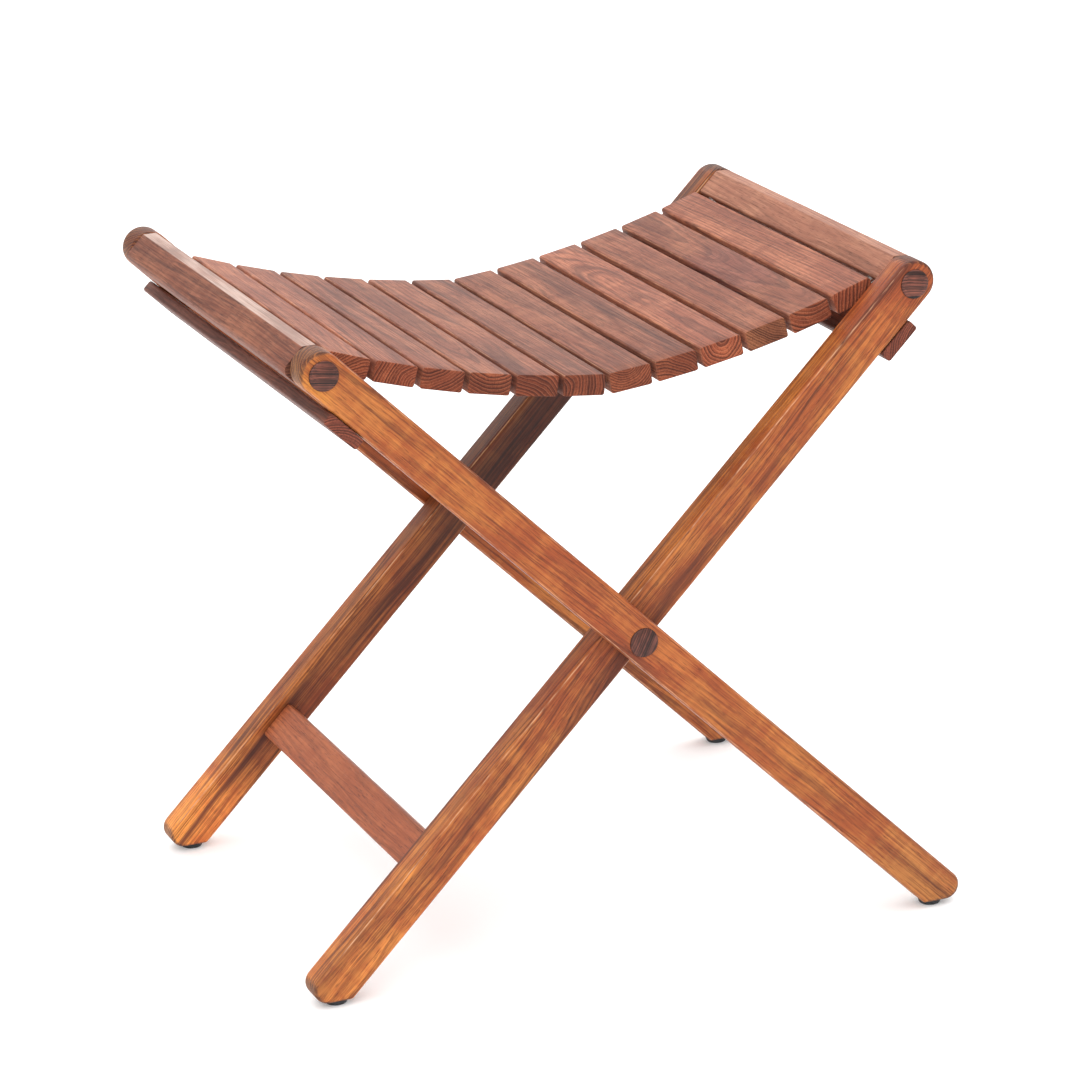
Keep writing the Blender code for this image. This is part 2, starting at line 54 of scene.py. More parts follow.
# Frames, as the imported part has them
LEG_ANGLE = radians(44.8)
PIVOT_Z = 239 * MM
UPPER_ARM = 313.4 * MM
LEG_WIDTH = 30 * MM
LEG_SPAN = 24 * MM
LEG_THICK = 23.5 * MM
TOP_OVERRUN = 1.5 * MM
FOOT_Z = 4 * MM
FOOT_RADIUS = 10.5 * MM
LEG_EDGE = 3 * MM
LEG_Y = {"outer": 188.25 * MM, "inner": 163.55 * MM}
LEAN = {"outer": -1, "inner": 1}
SIDES = {"front": -1, "rear": 1}
RAIL_INNER, RAIL_OUTER = -12 * MM, 15.2 * MM
RAIL_UNDER, RAIL_TOP = -15 * MM, 13.5 * MM
RAIL_CHAMFER = 7 * MM
BAR_ALONG, BAR_WIDTH, BAR_THICK = 277 * MM, 31 * MM, 9 * MM
STRETCHER_ALONG, STRETCHER_WIDTH, STRETCHER_THICK = 212 * MM, 30 * MM, 15 * MM
PAD_X = 224.3 * MM
PAD_FLOOR_RADIUS, PAD_TOP_RADIUS = 7.6 * MM, 8.7 * MM

# Holes in the legs, from the outer face, and the plugs in them
PLUG_HOLE_RADIUS, PLUG_HOLE_DEPTH = 10.5 * MM, 6 * MM
HEAD_DEPTH = 10.3 * MM
SCREW_HOLE_RADIUS = 2.8 * MM
BOLT_HOLE_RADIUS = 4.05 * MM
SLEEVE_HOLE_RADIUS = 4.85 * MM
PLUG_RADIUS = 10.42 * MM
PLUG_DOME = 2 * MM
PLUG_SEGMENTS, PAD_SEGMENTS, FERRULE_SEGMENTS = 64, 56, 40

# How far a board's rim is rounded at its ends, and how far hand sanding leaves its faces from flat
RAIL_RIM, BAR_RIM, STRETCHER_RIM, SLAT_RIM = 0.6 * MM, 0.8 * MM, 0.4 * MM, 0.8 * MM
SANDED, BAR_SANDED = 0.12 * MM, 0.1 * MM

# Seat
SLATS = 12
SLAT_WIDTH, SLAT_THICK, SLAT_LENGTH = 31 * MM, 15 * MM, 298 * MM
SLAT_EDGE = 1.9 * MM
SLAT_PITCH = 35 * MM
SLAT_FIRST_SLOPE, SLAT_SLOPE_STEP = radians(6), radians(2.5)
SEAT_LOW_Z = 411 * MM
CORD_Y = SLAT_LENGTH / 2 - 13 * MM
CORD_RADIUS = 1.6 * MM
CORD_HOLE_RADIUS = 2.2 * MM
CORD_IN_RAIL = 6 * MM
FERRULE_RADIUS, FERRULE_BORE, FERRULE_PROUD, FERRULE_LENGTH = 3.2 * MM, 2.15 * MM, 2 * MM, 8 * MM

# ---------------------------------------------------------------- surfaces


def mesh_piece(name, points, faces, sharp=radians(40)):
    """A closed mesh of these points and faces, its normals facing out, smooth except over sharp edges."""
    mesh = bpy.data.meshes.new(name)
    mesh.from_pydata(points.tolist(), [], faces)
    shape = bmesh.new()
    shape.from_mesh(mesh)
    bmesh.ops.recalc_face_normals(shape, faces=shape.faces)
    shape.to_mesh(mesh)
    shape.free()
    mesh.shade_smooth()
    mesh.set_sharp_from_angle(angle=sharp)
    made = bpy.data.objects.new(name, mesh)
    bpy.context.scene.collection.objects.link(made)
    return made


def grid_faces(rings, around):
    """Quads between neighbouring rings of points, each ring closed on itself."""
    ring, step = np.meshgrid(np.arange(rings - 1), np.arange(around), indexing="ij")
    a, b = ring * around + step, ring * around + (step + 1) % around
    return np.stack([a, b, b + around, a + around], -1).reshape(-1, 4).tolist()


def moved(points, place):
    """Each point, multiplied by the matrix of place."""
    matrix = np.array(place)
    return points @ matrix[:3, :3].T + matrix[:3, 3]


def arc(centre, radius, start, end, steps):
    """Points at radius from centre while the angle runs evenly from start to end."""
    angle = np.linspace(start, end, steps + 1)
    return np.stack([centre[0] + radius * np.cos(angle), centre[1] + radius * np.sin(angle)], -1)


def with_spans(outline, longest):
    """The outline with its long sides cut into equal spans no longer than this."""
    following = np.roll(outline, -1, axis=0)
    counts = np.maximum(1, np.ceil(np.linalg.norm(following - outline, axis=1) / longest)).astype(int)
    cut = [a + (b - a) * np.arange(n)[:, None] / n for a, b, n in zip(outline, following, counts)]
    return np.concatenate(cut)


def rounded_rectangle(width, height, radius, steps=6):
    """Four quarter arcs of this radius about the corners' centres, anticlockwise."""
    x, z = width / 2 - radius, height / 2 - radius
    corners = [
        arc(centre, radius, first, first + pi / 2, steps)
        for centre, first in zip(((x, -z), (x, z), (-x, z), (-x, -z)), np.arange(-1, 3) * pi / 2)
    ]
    return np.concatenate(corners)


def rounded_outline(corners, steps=8):
    """An anticlockwise outline: at each corner (x, z, radius), an arc tangent to both sides."""
    spots = np.array([corner[:2] for corner in corners])
    parts = []
    for spot, last, following, (_, _, radius) in zip(
        spots, np.roll(spots, 1, 0), np.roll(spots, -1, 0), corners
    ):
        before, after = last - spot, following - spot
        before, after = before / np.linalg.norm(before), after / np.linalg.norm(after)
        half = np.arccos(before @ after) / 2
        middle = (before + after) / np.linalg.norm(before + after)
        centre = spot + middle * radius / sin(half)
        facing = np.arctan2(-middle[1], -middle[0])
        parts.append(arc(centre, radius, facing - pi / 2 + half, facing + pi / 2 - half, steps))
    return np.concatenate(parts)


def leg_outline():
    """A leg in its own axes, x up the leg: half circle at the top, straight sides, and a level cut at the foot
    whose two corners are arcs tangent to their sides."""
    half, drop = LEG_WIDTH / 2, PIVOT_Z - FOOT_Z
    under = -(drop - half * cos(LEG_ANGLE)) / sin(LEG_ANGLE)
    over = -(drop + half * cos(LEG_ANGLE)) / sin(LEG_ANGLE)
    small = 4 * MM
    blunt_reach = small * tan(LEG_ANGLE / 2)
    sharp_reach = FOOT_RADIUS / tan(LEG_ANGLE / 2)
    top = arc((UPPER_ARM + TOP_OVERRUN, 0), half, -pi / 2, pi / 2, 28)
    sharp = arc((over + sharp_reach, half - FOOT_RADIUS), FOOT_RADIUS, pi / 2, pi / 2 + pi - LEG_ANGLE, 14)
    blunt = arc((under + blunt_reach, small - half), small, 3 * pi / 2 - LEG_ANGLE, 3 * pi / 2, 8)
    return np.concatenate([top, sharp, blunt])


def board(name, outline, low, high, edge, place, spans=1, wave=0.0, seed=0):
    """A closed outline in x and z carried along y from low to high. Near each end the outline shrinks inward
    by edge * (1 - cos q) while y turns by edge * sin q, which rounds the rim. The long sides swell by a sum of
    slow sines of the distance round the outline and along y, as hand-sanded timber does."""
    turn = np.linspace(0, pi / 2, 6)
    shrink, rise = edge * (1 - np.cos(turn)), edge * np.sin(turn)
    inset = edge + 0.5 * MM
    start = np.column_stack([shrink, low + edge - rise])[::-1]
    middle = np.column_stack([np.zeros(spans - 1), np.linspace(low + edge, high - edge, spans + 1)[1:-1]])
    end = np.column_stack([shrink, high - edge + rise])
    rows = np.concatenate([[[inset, low]], start, middle, end, [[inset, high]]])
    along = np.roll(outline, -1, axis=0) - np.roll(outline, 1, axis=0)
    along /= np.linalg.norm(along, axis=1)[:, None]
    outward = np.column_stack([along[:, 1], -along[:, 0]])
    round_it = np.concatenate([[0], np.cumsum(np.linalg.norm(np.diff(outline, axis=0), axis=1))])
    whole = round_it[-1] + np.linalg.norm(outline[0] - outline[-1])
    draw = np.random.default_rng(seed)
    swell = np.zeros((len(rows), len(outline)))
    for harmonic in range(1, 4):
        phase = draw.uniform(0, 2 * pi, 2)
        swell += np.cos(rows[:, 1:] * pi * harmonic / 0.11 + phase[0]) * np.cos(
            2 * pi * harmonic * round_it / whole + phase[1]
        )
    swell *= wave / 3 * (rows[:, :1] == 0)
    offset = swell - rows[:, :1]
    points = np.empty((len(rows), len(outline), 3))
    points[..., 0] = outline[:, 0] + outward[:, 0] * offset
    points[..., 1] = rows[:, 1:]
    points[..., 2] = outline[:, 1] + outward[:, 1] * offset
    around = len(outline)
    faces = grid_faces(len(rows), around)
    last = (len(rows) - 1) * around
    faces += [list(range(around)), list(range(last, last + around))]
    return mesh_piece(name, moved(points.reshape(-1, 3), place), faces)


def turned(name, profile, place, around=48, closed=False):
    """A profile of radius and height turned about z. It starts and ends on the axis, at one point each, or it
    is itself a closed loop, as a ring's is."""
    profile = np.array(profile)
    angle = np.arange(around) * 2 * pi / around
    body = profile if closed else profile[1:-1]
    points = np.empty((len(body), around, 3))
    points[..., 0] = body[:, :1] * np.cos(angle)
    points[..., 1] = body[:, :1] * np.sin(angle)
    points[..., 2] = body[:, 1:]
    points = points.reshape(-1, 3)
    if closed:
        faces = grid_faces(len(body) + 1, around)
        faces = (np.array(faces) % len(points)).tolist()
    else:
        faces = grid_faces(len(body), around)
        first, last = len(points), (len(body) - 1) * around
        points = np.concatenate([points, [[0, 0, profile[0, 1]], [0, 0, profile[-1, 1]]]])
        faces += [[first, i, (i + 1) % around] for i in range(around)]
        faces += [[first + 1, last + i, last + (i + 1) % around] for i in range(around)]
    return mesh_piece(name, moved(points, place), faces, radians(32))


def twisted_cord(name, start, end, radius, strands=3, lay=7 * MM, around=30):
    """A laid cord from start to end. At distance s along it and angle a round it, the radius is
    radius * (0.86 + 0.14 * |cos(strands / 2 * (a - 2 pi s / lay))|). It narrows over the last radius of its
    length, as the square root of the distance to the end, and closes at a point just past each end."""
    axis = Vector(end) - Vector(start)
    length = axis.length
    rows = max(6, int(length / (0.35 * MM)))
    s = np.linspace(0, length, rows)
    a = np.arange(around) * 2 * pi / around
    ridge = np.abs(np.cos(strands / 2 * (a[None] - 2 * pi * s[:, None] / lay)))
    nose = np.sqrt(np.clip(np.minimum(s, length - s) / radius, 0, 1) * 0.85 + 0.15)
    r = radius * (0.86 + 0.14 * ridge) * nose[:, None]
    points = np.stack([r * np.cos(a), r * np.sin(a), np.broadcast_to(s[:, None], r.shape)], -1)
    points = points.reshape(-1, 3)
    faces = grid_faces(rows, around)
    first, last = len(points), (rows - 1) * around
    points = np.concatenate([points, [[0, 0, -0.2 * radius], [0, 0, length + 0.2 * radius]]])
    faces += [[first, i, (i + 1) % around] for i in range(around)]
    faces += [[first + 1, last + i, last + (i + 1) % around] for i in range(around)]
    place = Matrix.Translation(start) @ axis.to_track_quat("Z", "Y").to_matrix().to_4x4()
    return mesh_piece(name, moved(points, place), faces, radians(80))


def along(point, direction):
    """The matrix that puts z along the direction, and the origin at the point."""
    return Matrix.Translation(point) @ Vector(direction).to_track_quat("Z", "Y").to_matrix().to_4x4()


def bore(piece, *cutters):
    """Cuts each closed cutter out of the piece, and keeps the result as its mesh."""
    for tool in cutters:
        boolean = piece.modifiers.new("bore", "BOOLEAN")
        boolean.operation, boolean.solver, boolean.object = "DIFFERENCE", "EXACT", tool
    bpy.context.view_layer.update()
    whole = piece.evaluated_get(bpy.context.evaluated_depsgraph_get())
    mesh = bpy.data.meshes.new_from_object(whole)
    piece.modifiers.clear()
    piece.data = mesh
    mesh.shade_smooth()
    mesh.set_sharp_from_angle(angle=radians(40))
    for tool in cutters:
        bpy.data.objects.remove(tool, do_unlink=True)


def drill(start, direction, *steps, around=40):
    """A round cutter from start: each step is a radius and the depth that it reaches."""
    profile, depth = [(0, 0)], 0
    for radius, reach in steps:
        profile += [(radius, depth), (radius, reach)]
        depth = reach
    return turned("drill", profile + [(0, depth)], along(start, direction), around)


# ---------------------------------------------------------------- finishes


class Tap:
    """An output socket in a finish's nodes. Arithmetic on it adds Math nodes."""

    def __init__(self, finish, socket):
        self.finish, self.socket = finish, socket

    def math(self, operation, first, second=0.0):
        return self.finish.add("ShaderNodeMath", {"operation": operation}, {0: first, 1: second})

    def __add__(self, other):
        return self.math("ADD", self, other)

    def __sub__(self, other):
        return self.math("SUBTRACT", self, other)

    def __rsub__(self, other):
        return self.math("SUBTRACT", other, self)

    def __mul__(self, other):
        return self.math("MULTIPLY", self, other)

    def __truediv__(self, other):
        return self.math("DIVIDE", self, other)

    def __pow__(self, other):
        return self.math("POWER", self, other)

    __radd__, __rmul__ = __add__, __mul__


class Finish:
    """A material whose nodes end in one Principled shader, with what its recipes need to add nodes."""

    def __init__(self, name, **shader):
        self.material = bpy.data.materials.new(name)
        self.material.use_nodes = True
        self.tree = self.material.node_tree
        self.shader = self.tree.nodes["Principled BSDF"]
        self.set(shader)

    def set(self, sockets):
        for name, value in sockets.items():
            self.plug(self.shader.inputs[name], value)

    def plug(self, socket, value):
        if isinstance(value, Tap):
            self.tree.links.new(value.socket, socket)
        else:
            socket.default_value = value

    def add(self, kind, settings=(), sockets=(), out=0):
        """A node of this kind: its settings first, then its sockets' values or links. Gives its output."""
        node = self.tree.nodes.new(kind)
        for name, value in dict(settings).items():
            if name == "stops":
                while len(node.color_ramp.elements) < len(value):
                    node.color_ramp.elements.new(0.5)
                for element, (position, colour) in zip(node.color_ramp.elements, value):
                    element.position = position
                    element.color = (*colour, 1) if hasattr(colour, "__len__") else (colour,) * 3 + (1,)
            else:
                setattr(node, name, value)
        for name, value in dict(sockets).items():
            self.plug(node.inputs[name], value)
        return Tap(self, node.outputs[out])

    def mix(self, factor, first, second):
        """first where factor is 0 and second where it is 1. Both are colours."""
        both = [value if isinstance(value, Tap) else (*value, 1) for value in (first, second)]
        return self.add("ShaderNodeMix", {"data_type": "RGBA"}, {0: factor, 6: both[0], 7: both[1]}, out=2)

    def object_mm(self, place=Matrix.Identity(4)):
        """Object coordinates in millimetres, in the axes of place."""
        back = place.inverted()
        return self.add(
            "ShaderNodeMapping",
            {},
            {
                "Vector": self.add("ShaderNodeTexCoord", out="Object"),
                "Location": back.translation / MM,
                "Rotation": back.to_euler(),
                "Scale": (1 / MM,) * 3,
            },
        )

    def axes(self, vector):
        """The vector's x, y and z."""
        node = self.add("ShaderNodeSeparateXYZ", {}, {0: vector}).socket.node
        return [Tap(self, output) for output in node.outputs]

    def dot(self, vector, direction):
        return self.add(
            "ShaderNodeVectorMath", {"operation": "DOT_PRODUCT"}, {0: vector, 1: direction}, out="Value"
        )

    def times(self, colour, tone):
        """The colour multiplied by a tone, channel by channel."""
        made = self.mix(1.0, colour, tone)
        made.socket.node.blend_type = "MULTIPLY"
        return made

    def scaled(self, vector, scale, shift=(0, 0, 0)):
        """vector * scale + shift, axis by axis."""
        return self.add("ShaderNodeVectorMath", {"operation": "MULTIPLY_ADD"}, {0: vector, 1: scale, 2: shift})

    def total(self, first, second):
        """The sum of two vectors."""
        return self.add("ShaderNodeVectorMath", {"operation": "ADD"}, {0: first, 1: second})

    def size(self, value):
        """A number without its sign."""
        return self.add("ShaderNodeMath", {"operation": "ABSOLUTE"}, {0: value})

    def noise(self, vector, detail=2.0, roughness=0.5, out=0):
        sockets = {"Vector": vector, "Scale": 1.0, "Detail": detail, "Roughness": roughness}
        return self.add("ShaderNodeTexNoise", {}, sockets, out)

    def step(self, value, low, high, to_low=0.0, to_high=1.0):
        """Runs smoothly from to_low, where value is low, to to_high, where it is high."""
        return self.add(
            "ShaderNodeMapRange",
            {"interpolation_type": "SMOOTHSTEP"},
            {"Value": value, 1: low, 2: high, 3: to_low, 4: to_high},
        )

    def bump(self, height, distance, strength=1.0):
        """A normal from a height between 0 and 1, which stands for this distance."""
        return self.add("ShaderNodeBump", {}, {"Height": height, "Distance": distance, "Strength": strength})


def teak(
    name, place, seed, light, mid, dark, line=0.5, streak=0.6, spacing=2.6, pith=(24, 40), tilt=0.02, rise=0.0,
    rough=0.5, specular=0.3, ends=(0.45, 0.9), end_tone=(0.5, 0.5, 0.52), arris=None, run=None, spots=(),
    pale=None,
):
    """Oiled teak. Local x runs along the grain, and lengths are in millimetres. The growth rings are cylinders
    about a pith line beside the board, pushed about by slow noise; each ring darkens towards its outer side.
    Broad dark bands follow the rings, and fibres, veins and pores are noise stretched along x. ends is how
    square to the grain a face has to be to start and to finish turning into end grain. arris is a board's half
    sizes, its edge radius and how strongly its edges are made lighter: rubbing by use and a painted highlight.
    run is where painted shade sets in along x, and its tone. Each spot is a place, a reach and a tone. pale is
    a direction and a tone for a painted sheen on faces turned that way."""
    pores = veins = 0.45
    finish = Finish(name, **{"Specular IOR Level": specular})
    local = finish.object_mm(place)
    shift = tuple(np.random.default_rng(seed).uniform(-900, 900, 3))

    def stretched(by, *texture, at=local, **more):
        return finish.noise(finish.scaled(at, by, shift), *texture, **more)

    # Rings, and the noise that bends them by up to 7.5 mm slowly and by up to 0.8 mm quickly
    slow = stretched((0.0045, 0.022, 0.022), 2.0, 0.45, out="Color")
    quick = stretched((0.02, 0.1, 0.1), 2.0, 0.5, out="Color")
    bent = finish.total(local, finish.scaled(slow, (0, 15, 15), (0, -7.5, -7.5)))
    bent = finish.total(bent, finish.scaled(quick, (0, 1.6, 1.6), (0, -0.8, -0.8)))
    x, y, z = finish.axes(bent)
    across, deep = y + pith[0] + x * tilt, z + pith[1] + x * rise
    radius = (across * across + deep * deep) ** 0.5
    ring = radius / spacing
    cell = finish.add("ShaderNodeMath", {"operation": "FRACT"}, {0: ring})
    number = ring - cell + seed * 7.31
    unlike = finish.add("ShaderNodeTexWhiteNoise", {"noise_dimensions": "1D"}, {"W": number})
    late = finish.step(cell, 0.2, 0.9) * finish.step(cell, 0.9, 1.0, 1.0, 0.0) * (0.2 + 0.8 * unlike)

    # Broad and thin bands, fibres, patches, cross ripple, pores and veins
    bands = finish.add("ShaderNodeCombineXYZ", {}, {0: x * 0.0035, 1: radius * 0.13, 2: z * 0.012})
    band = finish.step(stretched((1, 1, 1), 4.0, 0.6, at=bands), 0.5, 0.64)
    thin = finish.step(stretched((2.4, 6.5, 3.0), 3.0, 0.6, at=bands), 0.54, 0.66)
    fibre = stretched((0.022, 1.1, 1.1), 4.0, 0.65)
    patch = stretched((0.012, 0.05, 0.05), 2.0, 0.5)
    ripple = stretched((0.11, 0.035, 0.035), 2.0, 0.5)
    pore = finish.step(stretched((0.1, 1.5, 1.5), 1.5, 0.55), 0.58, 0.68)
    vein = stretched((0.013, 0.62, 0.62), 3.0, 0.62, at=bent)
    normal = finish.add("ShaderNodeTexCoord", out="Normal")
    end = finish.step(finish.size(finish.dot(normal, tuple(place.to_3x3().col[0]))), *ends)

    # Colour along the grain
    deeper = tuple(0.6 * c for c in dark)
    colour = finish.mix(finish.step(patch * 0.55 + fibre * 0.4 + ripple * 0.25, 0.46, 0.7), light, mid)
    colour = finish.mix(band * streak, colour, dark)
    colour = finish.mix(thin * streak * 0.8, colour, deeper)
    colour = finish.mix(late * line, colour, deeper)
    colour = finish.mix(finish.step(fibre, 0.52, 0.72) * 0.45, colour, dark)
    colour = finish.mix(finish.step(vein, 0.54, 0.66) * veins, colour, dark)
    bright = finish.step(vein, 0.34, 0.46, veins, 0.0) * 0.6
    colour = finish.mix(bright, colour, finish.times(colour, (1.35, 1.4, 1.4)))
    # Painted shade along the leg from run, sparing its upward edge
    if run:
        start, full, tone = run
        painted_shade = finish.step(x + patch * 60, start + 30, full + 30) * finish.step(z, 5, 12, 1.0, 0.0)
        colour = finish.mix(painted_shade, colour, finish.times(colour, tone))
    for where, reach, tone in spots:
        far = finish.add("ShaderNodeVectorMath", {"operation": "DISTANCE"}, {0: bent, 1: where}, out="Value")
        colour = finish.mix(finish.step(far, 0.45 * reach, reach, 0.9, 0.0), colour, finish.times(colour, tone))
    colour = finish.mix(pore * pores, colour, tuple(0.4 * c for c in dark))
    polish = fibre * 0.2 + (rough - 0.1) + end * 0.12

    # Edges made lighter, by rubbing and by a painted highlight, and a painted sheen on faces that catch the
    # light
    if arris:
        half_width, half_thick, edge, rubbed_and_highlight = arris
        _, side, top = finish.axes(local)
        beside = finish.size(side) - (half_width - edge)
        above = finish.size(top) - (half_thick - edge)
        uneven = finish.step(stretched((0.035, 0.3, 0.3), 3.0, 0.7), 0.42, 0.62)
        off_corner = finish.size((beside - above) * (1 / edge))
        rubbed_and_highlit_edge = finish.step(off_corner, 0.05, 0.36, 1.0, 0.0) * finish.step(beside, 0.2, 0.6) * uneven
        # Painted highlight with some rubbing by use: a thin broken lighter line along the ridge of each rounded
        # edge
        colour = finish.mix(rubbed_and_highlit_edge * (1.0 - end) * rubbed_and_highlight, colour, (0.8, 0.42, 0.22))
        polish = polish - rubbed_and_highlit_edge * 0.12
    if pale:
        direction, tone = pale
        patchy = finish.step(patch + fibre * 0.5, 0.5, 0.85, 1.0, 0.35)
        # Painted sheen: faces turned towards the direction take a paler tone for the reflection they catch
        painted_sheen = finish.step(finish.dot(normal, direction), 0.9, 0.985) * patchy
        colour = finish.mix(painted_sheen, colour, tone)
        polish = polish - painted_sheen * 0.15

    # End grain: its tone, and each ring's dark and light side
    colour = finish.mix(end, colour, finish.times(colour, end_tone))
    colour = finish.mix(end * finish.step(late, 0.15, 0.5) * 0.5, colour, tuple(0.5 * c for c in dark))
    colour = finish.mix(end * finish.step(cell, 0.0, 0.25, 0.45, 0.0), colour, light)
    height = fibre * 0.6 - pore * 0.8 - late * 0.3
    finish.set({"Base Color": colour, "Roughness": polish, "Normal": finish.bump(height, 0.14 * MM, 0.7)})
    return finish.material


def brushed_steel(name):
    """Stainless steel, brushed by stretched noise in its roughness and bump."""
    finish = Finish(name, Metallic=1.0)
    local = finish.object_mm()
    lines = finish.noise(finish.scaled(local, (3, 0.25, 3)), 3.0, 0.6)
    finish.set(
        {
            "Base Color": finish.mix(lines, (0.5, 0.49, 0.47), (0.7, 0.69, 0.67)),
            "Roughness": lines * 0.25 + 0.2,
            "Normal": finish.bump(lines, 0.02 * MM, 0.5),
        }
    )
    return finish.material


def moulded_rubber(name):
    """Black rubber, dusty in its fine grain."""
    finish = Finish(name)
    local = finish.object_mm()
    grain = finish.noise(finish.scaled(local, (2.5, 2.5, 2.5)), 3.0, 0.6)
    dust = finish.step(finish.noise(finish.scaled(local, (0.3, 0.3, 0.3)), 3.0, 0.6), 0.4, 0.75)
    finish.set(
        {
            "Base Color": finish.mix(dust, (0.012, 0.013, 0.015), (0.035, 0.036, 0.04)),
            "Roughness": grain * 0.25 + 0.45,
            "Normal": finish.bump(grain, 0.06 * MM, 0.7),
        }
    )
    return finish.material


def soft_nylon(name):
    """Natural nylon, faintly clouded."""
    finish = Finish(name)
    grain = finish.noise(finish.scaled(finish.object_mm(), (1.5, 1.5, 1.5)), 3.0, 0.6)
    finish.set(
        {
            "Base Color": finish.mix(grain, (0.62, 0.6, 0.55), (0.75, 0.73, 0.69)),
            "Roughness": grain * 0.2 + 0.35,
            "Normal": finish.bump(grain, 0.03 * MM, 0.5),
        }
    )
    return finish.material


def spun_cord(name):
    """Pale laid cord: fine yarns as noise, darker where the yarns' bump is low."""
    finish = Finish(name)
    local = finish.object_mm()
    yarn = finish.noise(finish.scaled(local, (3.5, 3.5, 3.5)), 4.0, 0.65)
    finish.set(
        {
            "Base Color": finish.mix(yarn, (0.38, 0.36, 0.33), (0.86, 0.84, 0.8)),
            "Roughness": yarn * 0.3 + 0.4,
            "Normal": finish.bump(yarn, 0.25 * MM, 0.8),
            "Sheen Weight": 0.3,
        }
    )
    return finish.material


# ---------------------------------------------------------------- places


def leg_place(lean):
    """The matrix from a frame's leg axes to the row frame: x up the leg, z square to it and upwards."""
    up = Vector((lean * cos(LEG_ANGLE), 0, sin(LEG_ANGLE)))
    square = Vector((-lean * sin(LEG_ANGLE), 0, cos(LEG_ANGLE)))
    turn = Matrix((up, square.cross(up), square)).transposed().to_4x4()
    return Matrix.Translation((0, 0, PIVOT_Z)) @ turn


def grain_along_y(place, centre=(0, 0, 0)):
    """Axes for timber that runs along y: local x is the row's y, and local y and z stay square to it."""
    basis = place.to_3x3()
    side, square = Vector((0, 1, 0)), basis.col[2].normalized()
    turn = Matrix((side, square.cross(side), square)).transposed().to_4x4()
    return Matrix.Translation(place @ Vector(centre)) @ turn


def seat_places():
    """Each slat's matrix from -X to +X: its centre, with x up its slope."""
    half, point = [], Vector((0, 0, SEAT_LOW_Z))
    for step in range(SLATS // 2):
        slope = SLAT_FIRST_SLOPE + step * SLAT_SLOPE_STEP
        run = Vector((cos(slope), 0, sin(slope))) * SLAT_PITCH
        half.append((point + run / 2, slope))
        point = point + run
    left = [(Vector((-centre.x, 0, centre.z)), -slope) for centre, slope in reversed(half)]
    return [Matrix.Translation(centre) @ Matrix.Rotation(-slope, 4, "Y") for centre, slope in left + half]


LEG_TONES = {"light": (0.5, 0.165, 0.036), "mid": (0.33, 0.074, 0.018), "dark": (0.09, 0.02, 0.009)}
SEAT_TONES = {"light": (0.38, 0.14, 0.076), "mid": (0.245, 0.078, 0.044), "dark": (0.07, 0.023, 0.017)}
# The bars are toned darker than the seat, as painted shade under the rails and seat
BAR_SHADED_TONES = {"light": (0.22, 0.075, 0.045), "mid": (0.14, 0.043, 0.027), "dark": (0.045, 0.016, 0.012)}
STRETCHER_TONES = {"light": (0.43, 0.125, 0.048), "mid": (0.34, 0.088, 0.034), "dark": (0.14, 0.036, 0.018)}
PLUG_TONES = {"light": (0.26, 0.078, 0.05), "mid": (0.11, 0.034, 0.023), "dark": (0.014, 0.006, 0.005)}
steel = brushed_steel("brushed_stainless")
rubber = moulded_rubber("pad_rubber")
nylon = soft_nylon("washer_nylon")
cord_yarn = spun_cord("cord_yarn")


def place_piece(piece, body, finish, slot, *replaced):
    """Gives the piece its finish and its body, and hides the nodes that it stands in for. slot is not used."""
    piece.data.materials.clear()
    piece.data.materials.append(finish)
    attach(piece, body)
    if replaced:
        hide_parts(*replaced)


# ---------------------------------------------------------------- legs, rails, bars and stretcher

# Each leg's own figure, with its lighter and darker places along the leg. On the inner rear leg, painted shade
# from the seat darkens the upper part and lifts towards a light foot
LEG_GRAIN = {
    "outer_leg_front": dict(
        seed=3, pith=(30, 46), spacing=3.1, tilt=0.035, streak=0.55, line=0.35,
        spots=[
            ((315, 0, -10), 26, (1.25, 1.45, 1.1)),
            ((40, 0, 0), 130, (0.95, 0.84, 0.9)),
            ((-320, 0, 0), 90, (0.95, 1.1, 1.25)),
        ],
    ),
    "outer_leg_rear": dict(seed=8, pith=(26, -38), spacing=2.6, tilt=-0.03, streak=0.7, line=0.4),
    "inner_leg_front": dict(
        seed=12, pith=(-40, 30), spacing=2.8, tilt=0.03, streak=0.75, line=0.45,
        spots=[
            ((-320, 0, 0), 190, (1.4, 1.5, 1.45)),
            ((-30, 0, 0), 70, (0.8, 0.7, 0.75)),
            ((300, 0, 0), 60, (1.0, 0.9, 0.95)),
        ],
    ),
    # Painted shade: run and the second spot darken the leg where the seat shades it, and the first spot
    # lightens the foot
    "inner_leg_rear": dict(
        seed=17, pith=(34, 30), spacing=2.4, tilt=-0.02, streak=0.9, line=0.5,
        run=(-300, -235, (0.62, 0.55, 0.62)),
        spots=[((-330, 0, 0), 90, (1.9, 2.1, 1.9)), ((140, 0, -4), 230, (0.3, 0.3, 0.38))],
    ),
}
# The legs' half sizes, edge radius and strength of their lighter edge line: rubbing and a painted highlight
LEG_RUBBED_AND_HIGHLIT_EDGE = (LEG_THICK / 2 / MM, LEG_WIDTH / 2 / MM, LEG_EDGE / MM, 0.55)

LEG = with_spans(leg_outline(), LEG_SPAN)
RAIL_SECTION = rounded_outline(
    [
        (RAIL_INNER, RAIL_UNDER, 2 * MM),
        (RAIL_OUTER, RAIL_UNDER, 6 * MM),
        (RAIL_OUTER, RAIL_TOP - RAIL_CHAMFER, 2 * MM),
        (RAIL_OUTER - RAIL_CHAMFER, RAIL_TOP, 2 * MM),
        (RAIL_INNER, RAIL_TOP, 2 * MM),
    ]
)
RAIL_TONES = {
    "outer": {key: tuple(0.84 * c for c in tone) for key, tone in SEAT_TONES.items()},
    "inner": {"light": (0.47, 0.21, 0.125), "mid": (0.37, 0.148, 0.09), "dark": (0.19, 0.068, 0.042)},
}


